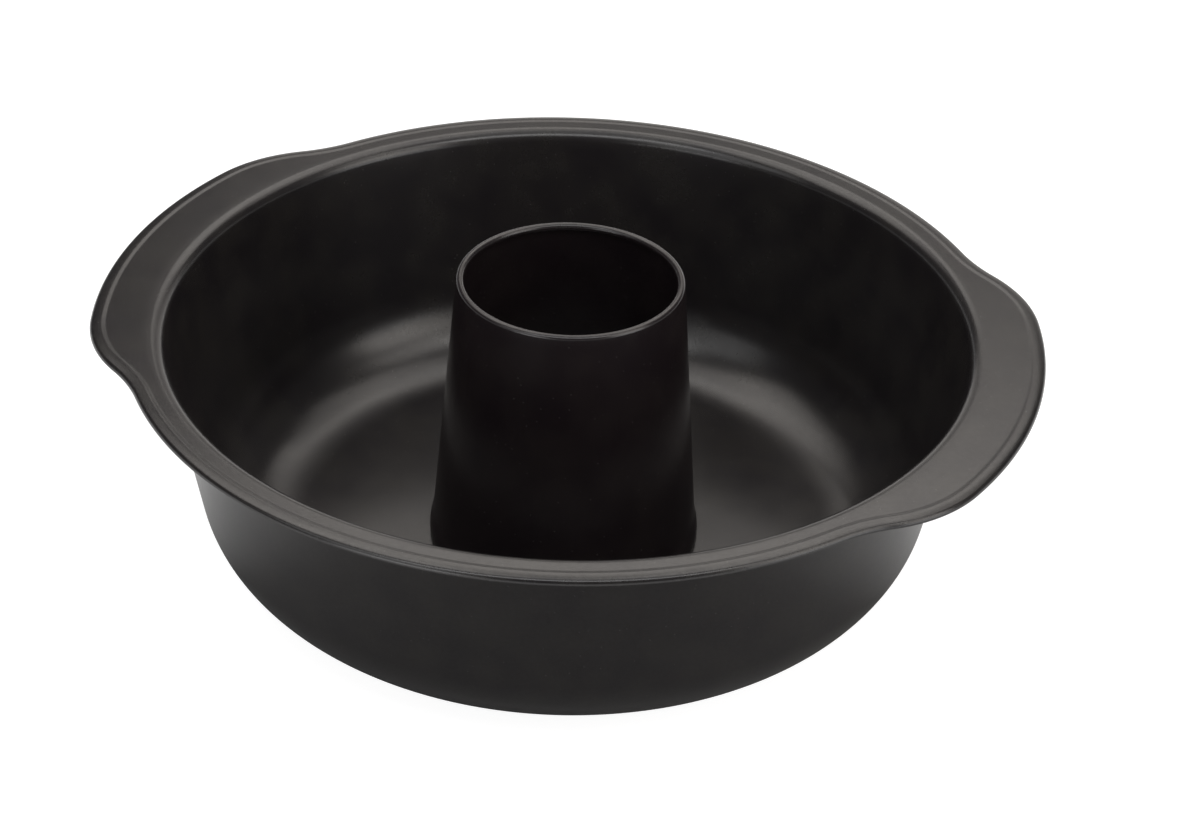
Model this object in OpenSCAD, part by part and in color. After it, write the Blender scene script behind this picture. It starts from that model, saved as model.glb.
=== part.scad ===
// Tube pan for angel food cake: one pressed shell with wing handles, and a tapered tube
// clinched over the neck in its floor.
// The floor's underside is at z = 0, the tube stands on the Z axis, and the handles lie along X.

/* [Pan] */
// Radius of the round rim over its rolled edge
rim_r = 132; // [110:1:160]
// Height of the pan from the table to the top of its rim
pan_h = 77; // [60:1:100]
// Lean of the wall away from upright, in degrees
wall_lean = 10.4; // [4:0.1:16]
// Outside radius of the rounded corner between the floor and the wall
corner_r = 30.5; // [15:0.5:38]
// Thickness of the sheet that the shell is pressed from
shell_sheet = 0.8; // [0.5:0.1:1]

/* [Rim] */
// Width of the rim, from where the wall has turned flat to the rolled edge
rim_w = 9.1; // [7.5:0.1:14]
// Radius of the bend over which the wall turns into the rim
lip_r = 3; // [1.5:0.1:5]
// Width of the rolled hem, from its crease to its outer edge
hem_w = 4.2; // [3.8:0.1:6]
// Height of the rolled hem
hem_h = 2.1; // [2:0.1:3.6]
// Rise of the hem's crown above the flat of the rim
hem_crown = 0.25; // [0.1:0.05:0.6]
// Length of the flat leg that the hem turns back under the rim
hem_leg = 2.2; // [0.5:0.1:3]

/* [Handles] */
// Distance that each handle stands out past the round rim
handle_reach = 10; // [6:0.5:16]
// Half of the angle that a handle's outer edge spans, in degrees
handle_half_angle = 19.8; // [12:0.2:28]
// Radius of the rounded ends of a handle
handle_end_r = 46; // [30:1:60]
// Radius of the hollow curve that leads a handle back into the rim
handle_blend_r = 52; // [35:1:80]

/* [Tube] */
// Outside radius of the tube at its top edge
tube_top_r = 34.1; // [26:0.1:40]
// Lean of the tube's side away from upright, in degrees
tube_lean = 4.6; // [1:0.1:7]
// Distance that the tube stands above the pan's rim
tube_rise = 14; // [5:0.5:30]
// Thickness of the tube's sheet
tube_sheet = 0.8; // [0.5:0.1:1]
// Outside radius of the curl that ends the tube's top edge
curl_r = 1.2; // [1.1:0.1:2]
// Angle that the curl turns through before its edge ends, in degrees
curl_turn = 250; // [180:5:270]

/* [Seam at the tube's foot] */
// Height of the collar at the tube's foot, above the floor
collar_h = 9; // [7:0.5:14]
// Height above the floor at which the collar is fullest
collar_full_h = 2.5; // [1.5:0.1:4]
// Distance that the collar swells out from where it starts
collar_swell = 1.2; // [0.6:0.1:2]
// Distance that the floor's neck stops short of the collar's top
neck_short = 1.6; // [1:0.1:3]
// Inside radius of the bend that turns the floor up into its neck
neck_bend_r = 0.3; // [0.2:0.05:0.6]
// Clearance between the neck and the collar that is clinched over it
seam_gap = 0.05; // [0.05:0.05:0.2]

/* [Hidden] */
$fn = 144;

// Farthest that a chord of a sampled arc may stray from the arc, and the widest angle it may span
arc_error = 0.02;
arc_step = 12;
// Hair by which every other arc of the hem is fuller and longer, so that the arcs join in one solid
hem_lap = 0.02;
hem_lap_run = 0.2;

half_shell = shell_sheet / 2;
half_tube = tube_sheet / 2;

// The rim's flat, halfway through its sheet, and the stations where its strips overlap
flat_z = pan_h - hem_crown - half_shell;
flat_w = rim_w - hem_w;
lip_x = rim_r - rim_w;

// Lip and corner, with the straight wall between them touching both arcs
lip_mid_r = lip_r - half_shell;
lip_z = flat_z + half_shell - lip_r;
corner_mid_r = corner_r - half_shell;
wall_top = [lip_x - lip_mid_r * cos(wall_lean), lip_z + lip_mid_r * sin(wall_lean)];
wall_foot_z = corner_r - corner_mid_r * sin(wall_lean);
wall_foot_x = wall_top.x - tan(wall_lean) * (wall_top.y - wall_foot_z);
corner_x = wall_foot_x - corner_mid_r * cos(wall_lean);

// Rolled hem, drawn with its outer edge at x = 0 and its top at y = 0
fold_r = hem_h / 2;
crown_run = hem_w - fold_r;
crown_r = (crown_run * crown_run + hem_crown * hem_crown) / (2 * hem_crown);
crown_mid_r = crown_r - half_shell;
crown_angle = acos((crown_mid_r - hem_crown) / crown_mid_r);

// Handle outline: an outer arc about the pan's own centre, round ends and hollow blends
handle_r = rim_r + handle_reach;
end_d = handle_r - handle_end_r;
blend_d = rim_r + handle_blend_r;
end_to_blend = handle_end_r + handle_blend_r;
blend_turn = acos((end_d * end_d + blend_d * blend_d - end_to_blend * end_to_blend) / (2 * end_d * blend_d));
blend_angle = handle_half_angle + blend_turn;
end_c = end_d * [cos(handle_half_angle), sin(handle_half_angle)];
blend_c = blend_d * [cos(blend_angle), sin(blend_angle)];
meet_angle = atan2(blend_c.y - end_c.y, blend_c.x - end_c.x);

// Tube wall, hung from its curl
tube_top_z = pan_h + tube_rise;
curl_mid_r = curl_r - half_tube;
curl_c = [tube_top_r - curl_r, tube_top_z - curl_r];
tube_wall_top = curl_c + curl_mid_r * [cos(tube_lean), sin(tube_lean)];
function tube_x(z) = tube_wall_top.x + tan(tube_lean) * (tube_wall_top.y - z);

// Collar, an arc that leaves the tube's wall at an angle, is fullest near the floor and ends above it
collar_top_z = shell_sheet + collar_h;
collar_rise = collar_h - collar_full_h;
collar_mid_r = (collar_rise * collar_rise + collar_swell * collar_swell) / (2 * collar_swell);
collar_top_angle = asin(collar_rise / collar_mid_r);
collar_c = [tube_x(collar_top_z) - collar_mid_r * cos(collar_top_angle), shell_sheet + collar_full_h];
collar_low_angle = asin((neck_bend_r - collar_full_h) / collar_mid_r);

// Neck, on the collar's own centre and inside it, and the bend that leads it into the floor
neck_mid_r = collar_mid_r - half_tube - seam_gap - half_shell;
neck_top_angle = asin((collar_rise - neck_short) / neck_mid_r);
bend_mid_r = neck_bend_r + half_shell;
neck_to_bend = neck_mid_r + bend_mid_r;
neck_low_angle = asin((neck_bend_r - collar_full_h) / neck_to_bend);
bend_c = collar_c + neck_to_bend * [cos(neck_low_angle), sin(neck_low_angle)];

// Stations [x, y, heading] along an arc from angle a0 to a1, close enough for arc_error
function arc(c, r, a0, a1) =
    let (
        chord_step = min(arc_step, 2 * acos(1 - min(1, arc_error / r))),
        steps = ceil(abs(a1 - a0) / chord_step),
        side = a1 > a0 ? 90 : -90
    )
    [for (i = [0:steps]) let (a = a0 + (a1 - a0) * i / steps) [c.x + r * cos(a), c.y + r * sin(a), a + side]];

function without_first(path) = [for (i = [1:len(path) - 1]) path[i]];
function without_last(path) = [for (i = [0:len(path) - 2]) path[i]];
function beside(path, d) = [for (s = path) [s.x - d * sin(s.z), s.y + d * cos(s.z)]];
function backward(points) = [for (i = [len(points) - 1:-1:0]) points[i]];

// Section of a sheet of thickness t that follows a path at its middle
module strip(path, t) {
    polygon(concat(beside(path, t / 2), backward(beside(path, -t / 2))));
}

// Quarter of the pan's outline from the middle of a handle to the middle of the rim, set in by d
function outline_quarter(d) = concat(
    arc([0, 0], handle_r - d, 0, handle_half_angle),
    arc(end_c, handle_end_r - d, handle_half_angle, meet_angle),
    arc(blend_c, handle_blend_r + d, meet_angle + 180, blend_angle + 180),
    arc([0, 0], rim_r - d, blend_angle, 90)
);

function outline(d) =
    let (
        right = [for (s = outline_quarter(d)) [s.x, s.y]],
        left = [for (p = backward(without_last(right))) [-p.x, p.y]],
        upper = concat(right, left)
    )
    concat(upper, [for (p = without_first(without_last(upper))) -p]);

// Sheet from the neck's top edge down and out across the floor, up the wall and over the lip
module shell_section() {
    path = concat(
        arc(collar_c, neck_mid_r, neck_top_angle, neck_low_angle),
        arc(bend_c, bend_mid_r, neck_low_angle + 180, 270),
        arc([corner_x, corner_r], corner_mid_r, -90, -wall_lean),
        arc([lip_x, lip_z], lip_mid_r, 180 - wall_lean, 90),
        [[lip_x + flat_w / 2, flat_z, 0]]
    );
    strip(path, shell_sheet);
}

// Flat of the rim and of both handles, reaching into the lip's strip and into the hem
module rim_flat() {
    translate([0, 0, flat_z - half_shell]) linear_extrude(height = shell_sheet) difference() {
        polygon(outline(hem_w + flat_w / 8));
        circle(r = lip_x + flat_w / 4);
    }
}

// Hem: a flat start, the crown that rises from the crease, the fold and the leg turned back under
module hem_section(lap) {
    crown = arc([-fold_r, -crown_r], crown_mid_r, 90 + crown_angle, 90);
    path = concat(
        [
            [-hem_w - flat_w * 3 / 8, -hem_crown - half_shell, 0],
            [-hem_w - flat_w / 16, -hem_crown - half_shell, 0],
            [crown[0].x, crown[0].y, crown_angle / 2]
        ],
        without_first(crown),
        without_first(arc([-fold_r, -fold_r], fold_r - half_shell, 90, -90)),
        [[-fold_r - hem_leg, -hem_h + half_shell, 180]]
    );
    strip(path, shell_sheet + 2 * lap);
}

// Stretch of hem along an arc of the outline, fuller and longer by the lap where lap is set
module hem_arc(c, r, a0, a1, lap = 0, hollow = false) {
    extra = lap > 0 ? hem_lap_run / r * 180 / PI : 0;
    translate([c.x, c.y, pan_h]) rotate([0, 0, a0 - extra])
        rotate_extrude(angle = a1 - a0 + 2 * extra) translate([r, 0]) mirror([hollow ? 1 : 0, 0])
            hem_section(lap);
}

module hem_of_handle() {
    hem_arc([0, 0], handle_r, -handle_half_angle, handle_half_angle, hem_lap);
    for (side = [0, 1]) mirror([0, side, 0]) {
        hem_arc(end_c, handle_end_r, handle_half_angle, meet_angle);
        hem_arc(blend_c, handle_blend_r, blend_angle + 180, meet_angle + 180, hem_lap, true);
    }
}

module pan_shell() {
    color("dimgray") union() {
        rotate_extrude() shell_section();
        rim_flat();
        for (turn = [0, 180]) rotate([0, 0, turn]) {
            hem_of_handle();
            hem_arc([0, 0], rim_r, blend_angle, 180 - blend_angle);
        }
    }
}

module centre_tube() {
    collar = arc(collar_c, collar_mid_r, collar_low_angle, collar_top_angle);
    collar_end = collar[len(collar) - 1];
    path = concat(
        without_last(collar),
        [[collar_end.x, collar_end.y, 90 + (collar_top_angle + tube_lean) / 2]],
        arc(curl_c, curl_mid_r, tube_lean, curl_turn)
    );
    color("gray") rotate_extrude() strip(path, tube_sheet);
}

pan_shell();
centre_tube();
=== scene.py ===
"""Angel food cake pan in dark non-stick steel: a pressed shell with wing handles and a clinched tube.

Lengths in the named values are millimetres, as in the part's source, and angles are degrees. Meshes,
lamps and the camera are placed in metres, in the frame's own axes: Z up along the tube, X through
the middle of both handles.
"""
import math

import bpy
import numpy as np
from mathutils import Matrix, Vector


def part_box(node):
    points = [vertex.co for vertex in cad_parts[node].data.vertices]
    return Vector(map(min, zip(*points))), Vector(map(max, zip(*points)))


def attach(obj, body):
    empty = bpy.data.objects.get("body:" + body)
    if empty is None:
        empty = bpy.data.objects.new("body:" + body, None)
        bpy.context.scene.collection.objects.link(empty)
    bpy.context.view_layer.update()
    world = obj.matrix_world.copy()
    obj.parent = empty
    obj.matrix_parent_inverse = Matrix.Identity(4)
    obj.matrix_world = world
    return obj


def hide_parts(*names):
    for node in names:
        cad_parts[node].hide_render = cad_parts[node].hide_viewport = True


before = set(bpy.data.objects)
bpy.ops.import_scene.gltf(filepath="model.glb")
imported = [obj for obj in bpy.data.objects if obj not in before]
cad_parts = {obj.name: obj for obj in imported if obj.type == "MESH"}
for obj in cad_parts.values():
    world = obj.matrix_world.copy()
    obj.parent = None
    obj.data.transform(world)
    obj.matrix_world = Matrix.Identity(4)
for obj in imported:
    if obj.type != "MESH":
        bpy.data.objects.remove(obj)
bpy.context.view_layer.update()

MM = 0.001

# Camera: how far the view is turned round the pan, tipped down and rolled, and the camera's place in
# the turned axes (right, away from the camera, up)
VIEW_TURN = 15.55
VIEW_DROP = 32.987
VIEW_ROLL = 2.509
CAMERA_PLACE = (19.1, -734.7, 522.2)
LENS = 87.58
SENSOR = 36.0
SHIFT_X = -0.0332
SHIFT_Y = 0.0018

# Shell: the frame gives its height, its round rim and the reach of its handles
SHEET = 0.8
PAN_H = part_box("pan_shell")[1].z / MM
RIM_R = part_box("pan_shell")[1].y / MM
HANDLE_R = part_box("pan_shell")[1].x / MM
WALL_LEAN = 10.4
CORNER_R = 30.5
RIM_W = 9.1
LIP_R = 3.0
HANDLE_HALF_ANGLE = 19.8
HANDLE_END_R = 46.0
HANDLE_BLEND_R = 52.0

# Rolled hem, as in the part's source
HEM_W = 4.2
HEM_H = 2.1
HEM_CROWN = 0.25
HEM_LEG = 2.2
HEM_START = 0.6

# Finer forms of the lip and of the hem's skin: the lip's larger radius, where the crease starts to
# rise, where the skin is highest and how much, and the radii of the brow and of the outer edge
LIP_EASE = 1.2
CREASE_W = 4.9
CREASE_START = 0.3
HEM_PEAK = 3.3
HEM_RISE = 0.2
BROW_R = 9.0
EDGE_TOP_R = 1.4
EDGE_LOW_R = 0.4

# Tube, and the seam at its foot
TUBE_TOP_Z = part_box("centre_tube")[1].z / MM
TUBE_TOP_R = 34.1
TUBE_LEAN = 4.6
CURL_R = 1.2
CURL_TURN = 250.0
COLLAR_H = 7.0
COLLAR_FULL_H = 1.6
COLLAR_SWELL = 1.03
COLLAR_BLEND_R = 5.0
NECK_SHORT = 0.8
NECK_BEND_R = 0.3
SEAM_GAP = 0.05

# Spacing of a mesh's rows along a sheet: on straight runs, on wide arcs and on the finer forms
RUN_STEP = 3.0
ARC_STEP = 1.2
CROWN_STEP = 0.5
LIP_STEP = 0.4
SOFT_STEP = 0.3
EDGE_STEP = 0.15
CREASE_STEP = 0.12
FOLD_TURN = 10.0

# Stations round the pan, closer together on a handle's ends, and rows round a cut edge and on the flat
STATION_STEP = 2.4
HANDLE_CLOSER = 1.5
TUBE_STATIONS = 288
EDGE_STEPS = 4
FLAT_STEPS = 4

# Rows that the marked edge leaves out at the hem's crease and leg, and its rows on the tube's curl
HEM_ROWS_IN = 2
HEM_ROWS_OUT = 3
CURL_ROWS = (4, 14)

# Colours of the non-stick coat, as linear values: two shades of each piece, dust and rubbed edges
SHELL_SHADES = ((0.0090, 0.0078, 0.0086), (0.0138, 0.0124, 0.0120))
TUBE_SHADES = ((0.0086, 0.0062, 0.0072), (0.0122, 0.0094, 0.0098))
COAT_SPECK = (0.075, 0.072, 0.069)
COAT_RUBBED = (0.0155, 0.0147, 0.0143)
COAT_IOR = 1.46

# Widths of the coat's features, and the part of the noise that each one uses
MOTTLE_SIZE = 14
MOTTLE_DETAIL = 6
MOTTLE_SPAN = (0.36, 0.64)
RUB_SIZE = 1.6
RUB_SPAN = (0.50, 0.72)
RUB_POLISH = 0.012
SHEEN_SIZE = 9
SHEEN_DETAIL = 3
ROUGHNESS = (0.236, 0.256)
GRAIN_SIZE = 1.2
GRAIN_DETAIL = 4
GRAIN_GLOSS = (0.455, 0.545)
NOISE_SPAN = (0.3, 0.7)

# Orange peel: its width, its depth and how far it turns the light
PEEL_SIZE = 0.9
PEEL_DETAIL = 3
PEEL_DEPTH = 0.02
PEEL_STRENGTH = 0.4

# Dust specks: the spacing of the cells that hold them, and their radius
SPECK_CELL = 2.6
SPECK_R = 0.16

# Studio: its dim walls, and the white backdrop that ends a few degrees above the horizon
STUDIO_DIM = 0.065
BACKDROP_WHITE = 1.0
BACKDROP_TOP = 2.0
BACKDROP_FADE = 6.0

# Floor: its colour, and how white the camera and reflections see it. In reflections its white lift fades
# out round a point in front of the pan's foot, a painted shadow of the pan.
FLOOR_COLOUR = (0.30, 0.30, 0.30)
FLOOR_SEEN = 0.92
FLOOR_MIRRORED = 0.95
FLOOR_SIZE = 6000.0
FLOOR_DROP = 0.2
FOOT_SHADE_FROM = 110.0
FOOT_SHADE_TO = 190.0
FOOT_SHADE_FORWARD = 70.0

# Watts for one square metre of softbox that shines as brightly as a white of 1
WATTS_FOR_RADIANCE = math.pi
LAMP_DISTANCE = 1.0
WARM = (1.0, 0.95, 0.90)
NEUTRAL = (1.0, 1.0, 1.0)

# Softboxes: name, direction from the pan (clockwise from straight away, then up), width and height
# in metres, radiance and colour
SOFTBOXES = (
    ("Back_softbox", 6, 53, (0.50, 0.28), 2.7, WARM),
    ("Back_left_softbox", -33, 53, (0.36, 0.28), 2.4, WARM),
    ("Back_right_softbox", 45, 53, (0.36, 0.28), 1.5, WARM),
    ("Back_high_strip", 8, 41, (0.72, 0.16), 2.4, WARM),
    ("Back_left_strip", -40, 42, (0.42, 0.12), 0.8, WARM),
    ("Back_low_strip", 6, 31, (0.60, 0.16), 0.4, WARM),
    ("Back_low_panel", 10, 15, (0.95, 0.34), 0.9, WARM),
    ("Ceiling_panel", 0, 84, (0.60, 0.60), 1.0, NEUTRAL),
    ("Ceiling_back", -5, 69, (0.36, 0.28), 0.8, WARM),
    ("Ceiling_back_left", -52, 66, (0.50, 0.28), 2.3, WARM),
    ("Ceiling_back_right", 48, 66, (0.50, 0.28), 2.1, WARM),
    ("Ceiling_front", 180, 66, (1.00, 0.28), 4.5, NEUTRAL),
    ("Left_back_panel", 292, 53, (0.42, 0.26), 2.2, WARM),
    ("Left_softbox", 213, 11, (0.50, 0.40), 3.2, NEUTRAL),
    ("Left_high_panel", 228, 40, (0.70, 0.50), 1.4, NEUTRAL),
    ("Right_softbox", 122, 11, (0.57, 0.40), 2.8, NEUTRAL),
    ("Right_high_panel", 118, 33, (0.54, 0.36), 3.9, WARM),
    ("Right_ceiling", 110, 54, (0.50, 0.28), 2.7, WARM),
)

HALF = SHEET / 2
view_turn = Matrix.Rotation(math.radians(VIEW_TURN), 4, "Z")


def polar(centre, radius, angle):
    """Point at an angle on a circle."""
    turn = math.radians(angle)
    return (centre[0] + radius * math.cos(turn), centre[1] + radius * math.sin(turn))


def bearing(start, end):
    """Direction from one point to another, in degrees."""
    return math.degrees(math.atan2(end[1] - start[1], end[0] - start[0]))


def arc(centre, radius, start, end, step=ARC_STEP):
    """Stations (x, y, heading) along an arc, no farther apart than a step or a turn of FOLD_TURN."""
    turn = min(FOLD_TURN, math.degrees(step / radius))
    count = max(1, math.ceil(abs(end - start) / turn))
    side = 90 if end > start else -90
    angles = [start + (end - start) * i / count for i in range(count + 1)]
    return [(*polar(centre, radius, a), a + side) for a in angles]


def joined(*stretches):
    """One path through several stretches, with rows added along the straight runs between them."""
    path = list(stretches[0])
    for stretch in stretches[1:]:
        start, end = path[-1], stretch[0]
        length = math.dist(start[:2], end[:2])
        heading = bearing(start, end)
        count = math.ceil(length / RUN_STEP)
        path += [(*polar(start, length * i / count, heading), heading) for i in range(1, count)]
        path += stretch[1:] if length < MM else stretch
    return path


def beside(path, distance):
    """Points at a distance to the left of a path."""
    return [polar((x, y), distance, heading + 90) for x, y, heading in path]


def cut_edge(station, turn):
    """Points round the cut edge of a sheet at the end of its path, past its first and last side."""
    x, y, heading = station
    steps = range(1, EDGE_STEPS)
    return [polar((x, y), HALF, heading + turn - 180 * i / EDGE_STEPS) for i in steps]


def start_drawn_in(path):
    """The path with its start drawn in by half a sheet, to leave room for the rounded cut edge."""
    x, y, heading = path[0]
    return [(*polar((x, y), HALF, heading), heading)] + path[1:]


def grid_piece(name, rings, node, material):
    """A closed mesh whose rings run round the sheet's section, one ring to a station round the pan."""
    stations, rows = rings.shape[:2]
    index = np.arange(stations * rows).reshape(stations, rows)
    next_ring = np.roll(index, -1, axis=0)
    next_row = np.roll(index, -1, axis=1)
    corners = (index, next_row, np.roll(next_ring, -1, axis=1), next_ring)
    faces = np.stack(corners, axis=-1).reshape(-1, 4)
    mesh = bpy.data.meshes.new(name)
    mesh.from_pydata((rings.reshape(-1, 3) * MM).tolist(), [], faces.tolist())
    mesh.polygons.foreach_set("use_smooth", np.ones(len(faces), bool))
    mesh.materials.append(material)
    mesh.update()
    piece = bpy.data.objects.new(name, mesh)
    bpy.context.scene.collection.objects.link(piece)
    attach(piece, "root")
    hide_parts(node)
    return piece


def mark_rows(piece, name, rows, first, last):
    """A point attribute that is 1 on some rows of every ring and 0 on the rest."""
    flags = np.zeros(rows, np.float32)
    flags[first:last] = 1
    count = len(piece.data.vertices) // rows
    marks = piece.data.attributes.new(name, "FLOAT", "POINT")
    marks.data.foreach_set("value", np.tile(flags, count))


# Wall of the tube, hung from its curl, with the collar that swells from it at the foot
lean_slope = math.tan(math.radians(TUBE_LEAN))
curl_mid_r = CURL_R - HALF
curl_c = (TUBE_TOP_R - CURL_R, TUBE_TOP_Z - CURL_R)
tube_wall_top = polar(curl_c, curl_mid_r, TUBE_LEAN)
collar_top_z = SHEET + COLLAR_H
tube_x_at_collar = tube_wall_top[0] + lean_slope * (tube_wall_top[1] - collar_top_z)
collar_rise = COLLAR_H - COLLAR_FULL_H
collar_mid_r = (collar_rise**2 + COLLAR_SWELL**2) / (2 * COLLAR_SWELL)
collar_top_angle = math.degrees(math.asin(collar_rise / collar_mid_r))
collar_x = tube_x_at_collar - collar_mid_r * math.cos(math.radians(collar_top_angle))
collar_c = (collar_x, SHEET + COLLAR_FULL_H)

# Neck of the floor inside the collar, and the bend that leads it into the floor
neck_mid_r = collar_mid_r - SHEET - SEAM_GAP
neck_top_angle = math.degrees(math.asin((collar_rise - NECK_SHORT) / neck_mid_r))
bend_mid_r = NECK_BEND_R + HALF
neck_low_angle = math.degrees(math.asin((NECK_BEND_R - COLLAR_FULL_H) / (neck_mid_r + bend_mid_r)))
bend_c = polar(collar_c, neck_mid_r + bend_mid_r, neck_low_angle)


def shell_path():
    """Middle of the shell's sheet, from the top of its neck to where the lip turns flat."""
    flat_z = PAN_H - HEM_CROWN - HALF
    lean = math.radians(WALL_LEAN)
    lip_r = LIP_R + LIP_EASE
    lip_x = RIM_R - RIM_W + LIP_EASE * (1 - math.sin(lean)) / math.cos(lean)
    lip_c = (lip_x, flat_z + HALF - lip_r)
    wall_top = polar(lip_c, lip_r - HALF, 180 - WALL_LEAN)
    corner_mid_r = CORNER_R - HALF
    wall_foot_z = polar((0, CORNER_R), corner_mid_r, -WALL_LEAN)[1]
    wall_foot_x = wall_top[0] - math.tan(lean) * (wall_top[1] - wall_foot_z)
    corner_c = (wall_foot_x - corner_mid_r * math.cos(lean), CORNER_R)
    return joined(
        arc(collar_c, neck_mid_r, neck_top_angle, neck_low_angle),
        arc(bend_c, bend_mid_r, neck_low_angle + 180, 270),
        arc(corner_c, corner_mid_r, -90, -WALL_LEAN),
        arc(lip_c, lip_r - HALF, 180 - WALL_LEAN, 90, LIP_STEP),
    )


def hem_path():
    """Middle of the rolled hem, with its outer edge at x = 0 and its top at y = 0."""
    fold_r = HEM_H / 2
    crown_run = HEM_W - fold_r
    crown_r = (crown_run**2 + HEM_CROWN**2) / (2 * HEM_CROWN)
    slope = math.degrees(math.asin(crown_run / crown_r))
    return joined(
        [(-HEM_W - HEM_START, -HEM_CROWN - HALF, 0)],
        arc((-fold_r, -crown_r), crown_r - HALF, 90 + slope, 90, CROWN_STEP),
        arc((-fold_r, -fold_r), fold_r - HALF, 90, -90),
        [(-fold_r - HEM_LEG + HALF, -HEM_H + HALF, 180)],
    )


def hem_skin():
    """Outer side of the hem: an eased rise at the crease, a low crown, a full brow and a firm edge."""
    run = CREASE_W - HEM_PEAK
    ease_r = (run**2 + HEM_RISE**2) / (4 * HEM_RISE)
    slope = math.degrees(math.asin(run / (2 * ease_r)))
    peak_y = HEM_RISE - HEM_CROWN
    edge_y = peak_y - BROW_R + math.sqrt((BROW_R - EDGE_TOP_R) ** 2 - (HEM_PEAK - EDGE_TOP_R) ** 2)
    brow_c = (-HEM_PEAK, peak_y - BROW_R)
    brow_end = bearing(brow_c, (-EDGE_TOP_R, edge_y))
    return joined(
        [(-CREASE_W - CREASE_START, -HEM_CROWN, 0)],
        arc((-CREASE_W, ease_r - HEM_CROWN), ease_r, -90, slope - 90, CREASE_STEP),
        arc((-HEM_PEAK, peak_y - ease_r), ease_r, 90 + slope, 90, CREASE_STEP),
        arc(brow_c, BROW_R, 90, brow_end, SOFT_STEP),
        arc((-EDGE_TOP_R, edge_y), EDGE_TOP_R, brow_end, 0, EDGE_STEP),
        arc((-EDGE_LOW_R, EDGE_LOW_R - HEM_H), EDGE_LOW_R, 0, -90),
        [(-HEM_H / 2 - HEM_LEG + HALF, -HEM_H, 180)],
    )


def outline():
    """Stations (x, y, outward direction) round the pan's rolled edge."""
    end_d = HANDLE_R - HANDLE_END_R
    blend_d = RIM_R + HANDLE_BLEND_R
    end_to_blend = HANDLE_END_R + HANDLE_BLEND_R
    cosine = (end_d**2 + blend_d**2 - end_to_blend**2) / (2 * end_d * blend_d)
    blend_angle = HANDLE_HALF_ANGLE + math.degrees(math.acos(cosine))
    end_c = polar((0, 0), end_d, HANDLE_HALF_ANGLE)
    blend_c = polar((0, 0), blend_d, blend_angle)
    meet = bearing(end_c, blend_c)
    close_step = STATION_STEP / HANDLE_CLOSER
    path = joined(
        arc((0, 0), HANDLE_R, 0, HANDLE_HALF_ANGLE, STATION_STEP),
        arc(end_c, HANDLE_END_R, HANDLE_HALF_ANGLE, meet, close_step),
        arc(blend_c, HANDLE_BLEND_R, meet + 180, blend_angle + 180, close_step),
        arc((0, 0), RIM_R, blend_angle, 90, STATION_STEP),
    )
    quarter = [(x, y, heading - 90) for x, y, heading in path]
    half = quarter + [(-x, y, 180 - out) for x, y, out in quarter[-2::-1]]
    return np.array(half + [(x, -y, -out) for x, y, out in half[-2:0:-1]])


def revolved(points, angles):
    """Points of a section, turned to each angle about the tube's axis."""
    r, z = np.array(points).T
    turn = angles[:, None]
    height = np.broadcast_to(z, (len(angles), len(z)))
    return np.stack([r * np.cos(turn), r * np.sin(turn), height], -1)


def swept(points, stations):
    """Points of the hem's section, stood on each station of the outline."""
    d, z = np.array(points).T
    out = np.radians(stations[:, 2:3])
    x = stations[:, 0:1] + d * np.cos(out)
    y = stations[:, 1:2] + d * np.sin(out)
    return np.stack([x, y, np.broadcast_to(z + PAN_H, x.shape)], -1)


def between(start, end):
    """Rows of the rim's flat between the lip's last row and the hem's first."""
    shares = [i / FLAT_STEPS for i in range(1, FLAT_STEPS)]
    return np.stack([start + (end - start) * s for s in shares], 1)


def shell_piece(material):
    """The pressed shell, from the neck inside the collar to the hem's leg turned back under the rim."""
    stations = outline()
    angles = np.arctan2(stations[:, 1], stations[:, 0])
    dish = start_drawn_in(shell_path())
    hem = hem_path()
    inside = revolved(beside(dish, HALF), angles)
    outside = revolved(beside(dish, -HALF), angles)
    hem_top = swept(beside(hem_skin(), 0), stations)
    hem_under = swept(beside(hem, -HALF), stations)
    hem_edge = swept(cut_edge(hem[-1], 90), stations)
    neck_edge = revolved(cut_edge(dish[0], -90), angles)
    parts = [
        inside,
        between(inside[:, -1], hem_top[:, 0]),
        hem_top,
        hem_edge,
        hem_under[:, ::-1],
        between(hem_under[:, 0], outside[:, -1]),
        outside[:, ::-1],
        neck_edge,
    ]
    rings = np.concatenate(parts, 1)
    piece = grid_piece("shell_pressing", rings, "pan_shell", material)
    first = inside.shape[1] + FLAT_STEPS - 1
    last = first + hem_top.shape[1] - HEM_ROWS_OUT
    mark_rows(piece, "rolled_edge", rings.shape[1], first + HEM_ROWS_IN, last)


def tube_path():
    """Middle of the tube's sheet, from the collar's foot up to the end of the curl."""
    foot_angle = math.degrees(math.asin((NECK_BEND_R - COLLAR_FULL_H) / collar_mid_r))
    along = np.array(polar((0, 0), 1, 90 + TUBE_LEAN))
    off_wall = np.array(polar((0, 0), COLLAR_BLEND_R, TUBE_LEAN))
    start = np.array(tube_wall_top) + off_wall - np.array(collar_c)
    reach = collar_mid_r + COLLAR_BLEND_R
    slide = -start @ along + math.sqrt((start @ along) ** 2 - start @ start + reach**2)
    blend_c = tuple(np.array(tube_wall_top) + off_wall + along * slide)
    meet = bearing(collar_c, blend_c)
    curl_end = CURL_TURN - math.degrees(HALF / curl_mid_r)
    return joined(
        arc(collar_c, collar_mid_r, foot_angle, meet),
        arc(blend_c, COLLAR_BLEND_R, meet + 180, 180 + TUBE_LEAN, SOFT_STEP),
        arc(curl_c, curl_mid_r, TUBE_LEAN, curl_end),
    )


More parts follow.
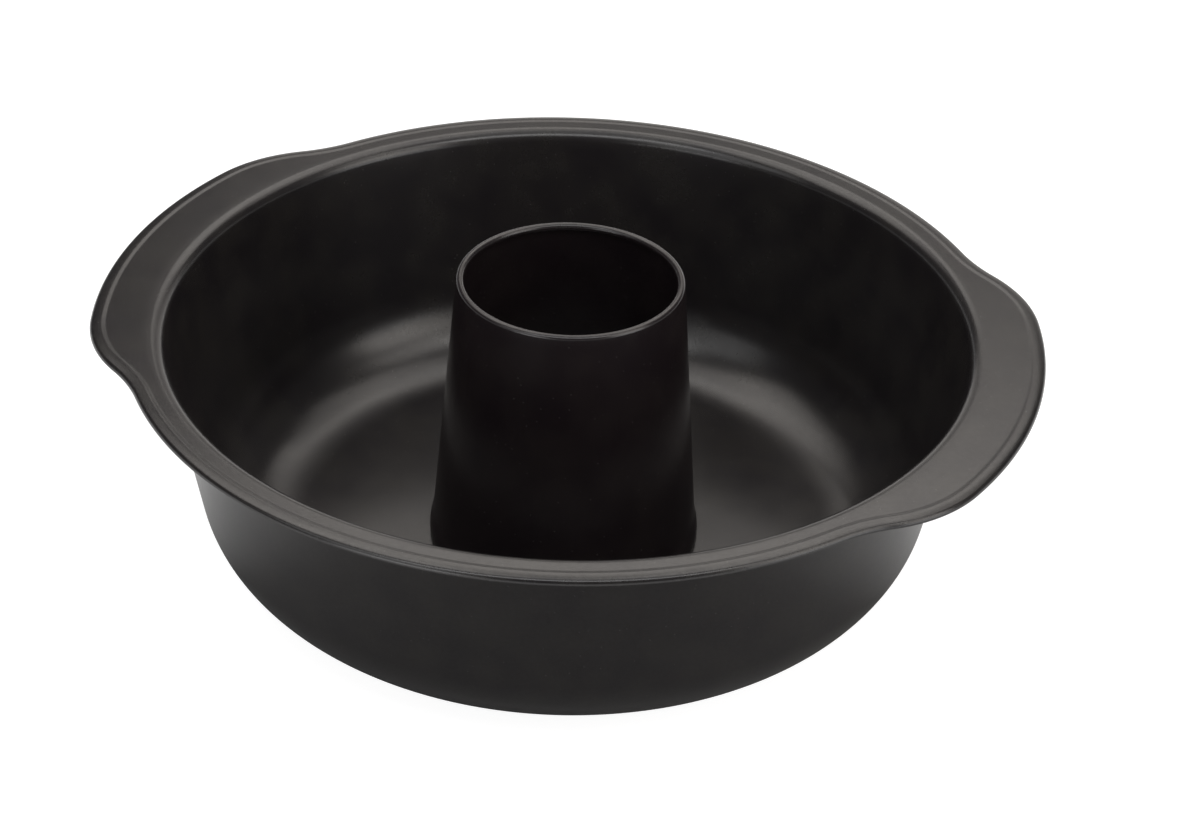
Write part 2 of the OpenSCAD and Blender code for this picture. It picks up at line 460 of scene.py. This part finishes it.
def tube_piece(material):
    """The tapered tube, open through, with its collar and its curled top edge."""
    angles = np.linspace(0, 2 * math.pi, TUBE_STATIONS, endpoint=False)
    path = start_drawn_in(tube_path())
    bore = revolved(beside(path, HALF), angles)
    outside = revolved(beside(path, -HALF), angles)
    curl_edge = revolved(cut_edge(path[-1], 90), angles)
    foot_edge = revolved(cut_edge(path[0], -90), angles)
    rings = np.concatenate([bore, curl_edge, outside[:, ::-1], foot_edge], 1)
    piece = grid_piece("tube_spun", rings, "centre_tube", material)
    first = bore.shape[1] + EDGE_STEPS - 1
    mark_rows(piece, "rolled_edge", rings.shape[1], first + CURL_ROWS[0], first + CURL_ROWS[1])


def node(tree, kind, **values):
    """A shader node with its properties set."""
    made = tree.nodes.new(kind)
    for name, value in values.items():
        setattr(made, name, value)
    return made


def noise(tree, coordinates, feature, detail=2.0):
    """Noise with features of a size in millimetres."""
    texture = node(tree, "ShaderNodeTexNoise")
    texture.inputs["Scale"].default_value = 1 / (feature * MM)
    texture.inputs["Detail"].default_value = detail
    tree.links.new(coordinates, texture.inputs["Vector"])
    return texture.outputs["Fac"]


def remapped(tree, value, low, high, to_low, to_high):
    """A value between low and high, brought to another range and held inside it."""
    change = node(tree, "ShaderNodeMapRange", clamp=True)
    limits = {"From Min": low, "From Max": high, "To Min": to_low, "To Max": to_high}
    for name, number in limits.items():
        change.inputs[name].default_value = number
    tree.links.new(value, change.inputs["Value"])
    return change.outputs["Result"]


def blended(tree, factor, first, second):
    """One colour going over into another; each is a colour or another node's output."""
    mix = node(tree, "ShaderNodeMix", data_type="RGBA")
    tree.links.new(factor, mix.inputs["Factor"])
    for socket, colour in ((mix.inputs["A"], first), (mix.inputs["B"], second)):
        if isinstance(colour, tuple):
            socket.default_value = (*colour, 1)
        else:
            tree.links.new(colour, socket)
    return mix.outputs["Result"]


def summed(tree, first, second, operation="ADD"):
    """Two values added, or joined by another operation."""
    total = node(tree, "ShaderNodeMath", operation=operation)
    for socket, value in zip(total.inputs, (first, second)):
        if isinstance(value, (int, float)):
            socket.default_value = value
        else:
            tree.links.new(value, socket)
    return total.outputs["Value"]


def coat_material(name, shades, seed):
    """Satin non-stick coat: mottled charcoal with sparse specks, fine grain and lightly rubbed edges."""
    material = bpy.data.materials.new(name)
    material.use_nodes = True
    tree = material.node_tree
    coat = tree.nodes["Principled BSDF"]
    coat.inputs["IOR"].default_value = COAT_IOR
    place = node(tree, "ShaderNodeTexCoord")
    moved = node(tree, "ShaderNodeMapping")
    moved.inputs["Location"].default_value = (seed, seed / 2, seed / 3)
    tree.links.new(place.outputs["Object"], moved.inputs["Vector"])
    spot = moved.outputs["Vector"]

    mottle = remapped(tree, noise(tree, spot, MOTTLE_SIZE, MOTTLE_DETAIL), *MOTTLE_SPAN, 0, 1)
    cells = node(tree, "ShaderNodeTexVoronoi")
    cells.inputs["Scale"].default_value = 1 / (SPECK_CELL * MM)
    tree.links.new(spot, cells.inputs["Vector"])
    reach = SPECK_R / SPECK_CELL
    specks = remapped(tree, cells.outputs["Distance"], reach / 2, reach, 1, 0)
    edge = node(tree, "ShaderNodeAttribute", attribute_name="rolled_edge")
    patches = remapped(tree, noise(tree, spot, RUB_SIZE), *RUB_SPAN, 0, 1)
    rub = summed(tree, edge.outputs["Fac"], patches, "MULTIPLY")
    colour = blended(tree, mottle, *shades)
    colour = blended(tree, rub, colour, COAT_RUBBED)
    colour = blended(tree, specks, colour, COAT_SPECK)
    tree.links.new(colour, coat.inputs["Base Color"])

    sheen = remapped(tree, noise(tree, spot, SHEEN_SIZE, SHEEN_DETAIL), *NOISE_SPAN, *ROUGHNESS)
    polish = summed(tree, rub, RUB_POLISH, "MULTIPLY")
    tree.links.new(summed(tree, sheen, polish, "SUBTRACT"), coat.inputs["Roughness"])

    gloss = remapped(tree, noise(tree, spot, GRAIN_SIZE, GRAIN_DETAIL), *NOISE_SPAN, *GRAIN_GLOSS)
    tree.links.new(gloss, coat.inputs["Specular IOR Level"])

    peel = node(tree, "ShaderNodeBump")
    peel.inputs["Strength"].default_value = PEEL_STRENGTH
    peel.inputs["Distance"].default_value = PEEL_DEPTH * MM
    tree.links.new(noise(tree, spot, PEEL_SIZE, PEEL_DETAIL), peel.inputs["Height"])
    tree.links.new(peel.outputs["Normal"], coat.inputs["Normal"])
    return material


def studio_world():
    """White behind the pan and low round the horizon, over a dim studio."""
    world = bpy.data.worlds.new("Studio")
    bpy.context.scene.world = world
    world.use_nodes = True
    tree = world.node_tree
    tree.nodes.clear()
    place = node(tree, "ShaderNodeTexCoord")
    axes = node(tree, "ShaderNodeSeparateXYZ")
    tree.links.new(place.outputs["Generated"], axes.inputs["Vector"])
    low = math.sin(math.radians(BACKDROP_TOP))
    high = math.sin(math.radians(BACKDROP_TOP + BACKDROP_FADE))
    horizon = remapped(tree, axes.outputs["Z"], low, high, BACKDROP_WHITE, STUDIO_DIM)
    rays = node(tree, "ShaderNodeLightPath").outputs
    light = node(tree, "ShaderNodeBackground")
    light.inputs["Color"].default_value = (1, 1, 1, 1)
    strength = summed(tree, horizon, rays["Is Camera Ray"], "MAXIMUM")
    tree.links.new(strength, light.inputs["Strength"])
    output = node(tree, "ShaderNodeOutputWorld")
    tree.links.new(light.outputs["Background"], output.inputs["Surface"])


def floor_material():
    """Pale floor, lifted to white for the camera and in reflections, that keeps the pan's cast shadow;
    in reflections the lift also fades near the pan's foot, a painted shadow.
    """
    material = bpy.data.materials.new("Pale_floor")
    material.use_nodes = True
    tree = material.node_tree
    tree.nodes.clear()
    pale = node(tree, "ShaderNodeBsdfDiffuse")
    pale.inputs["Color"].default_value = (*FLOOR_COLOUR, 1)
    place = node(tree, "ShaderNodeTexCoord")
    from_foot = node(tree, "ShaderNodeVectorMath", operation="DISTANCE")
    from_foot.inputs[1].default_value = view_turn @ Vector((0, -FOOT_SHADE_FORWARD * MM, 0))
    tree.links.new(place.outputs["Object"], from_foot.inputs[0])
    # Painted shadow: the lift seen in reflections is zero near a point in front of the pan's foot and
    # grows to full farther out
    shade = (FOOT_SHADE_FROM * MM, FOOT_SHADE_TO * MM)
    mirror_lift_past_painted_shadow = remapped(tree, from_foot.outputs["Value"], *shade, 0, FLOOR_MIRRORED)
    rays = node(tree, "ShaderNodeLightPath").outputs
    mirrored = summed(tree, rays["Is Glossy Ray"], rays["Is Transmission Ray"], "MAXIMUM")
    in_mirror = summed(tree, mirrored, mirror_lift_past_painted_shadow, "MULTIPLY")
    seen = summed(tree, rays["Is Camera Ray"], FLOOR_SEEN, "MULTIPLY")
    lift = node(tree, "ShaderNodeEmission")
    lift.inputs["Color"].default_value = (1, 1, 1, 1)
    tree.links.new(summed(tree, seen, in_mirror), lift.inputs["Strength"])
    both = node(tree, "ShaderNodeAddShader")
    tree.links.new(pale.outputs["BSDF"], both.inputs[0])
    tree.links.new(lift.outputs["Emission"], both.inputs[1])
    output = node(tree, "ShaderNodeOutputMaterial")
    tree.links.new(both.outputs["Shader"], output.inputs["Surface"])
    return material


def floor():
    """A wide floor just under the pan."""
    reach = FLOOR_SIZE * MM / 2
    corners = [(-reach, -reach), (reach, -reach), (reach, reach), (-reach, reach)]
    mesh = bpy.data.meshes.new("floor")
    mesh.from_pydata([(x, y, -FLOOR_DROP * MM) for x, y in corners], [], [(0, 1, 2, 3)])
    mesh.materials.append(floor_material())
    sheet = bpy.data.objects.new("floor", mesh)
    bpy.context.scene.collection.objects.link(sheet)


def camera():
    """The camera of the photograph: its place, its tilt and its slightly shifted frame."""
    data = bpy.data.cameras.new("Camera")
    data.lens = LENS
    data.sensor_fit = "HORIZONTAL"
    data.sensor_width = SENSOR
    data.shift_x = SHIFT_X
    data.shift_y = SHIFT_Y
    tilt = Matrix.Rotation(math.radians(90 - VIEW_DROP), 4, "X")
    roll = Matrix.Rotation(math.radians(VIEW_ROLL), 4, "Z")
    made = bpy.data.objects.new("Camera", data)
    place = Matrix.Translation(view_turn @ (Vector(CAMERA_PLACE) * MM))
    made.matrix_world = place @ view_turn @ tilt @ roll
    bpy.context.scene.collection.objects.link(made)
    bpy.context.scene.camera = made


def softbox(name, azimuth, elevation, size, radiance, colour):
    """A softbox that faces the pan from its direction."""
    data = bpy.data.lights.new(name, "AREA")
    data.shape = "RECTANGLE"
    data.size, data.size_y = size
    data.color = colour
    data.energy = radiance * WATTS_FOR_RADIANCE * size[0] * size[1]
    lamp = bpy.data.objects.new(name, data)
    out, up = polar((0, 0), LAMP_DISTANCE, elevation)
    across, away = polar((0, 0), out, 90 - azimuth)
    spot = view_turn @ Vector((across, away, up))
    lamp.rotation_euler = spot.to_track_quat("Z", "Y").to_euler()
    lamp.location = spot
    lamp.visible_camera = False
    bpy.context.scene.collection.objects.link(lamp)


camera()
studio_world()
floor()
for lamp in SOFTBOXES:
    softbox(*lamp)
shell_piece(coat_material("Pressing_coat", SHELL_SHADES, 0.11))
tube_piece(coat_material("Tube_coat", TUBE_SHADES, 0.37))

bpy.context.scene.view_settings.view_transform = "Standard"
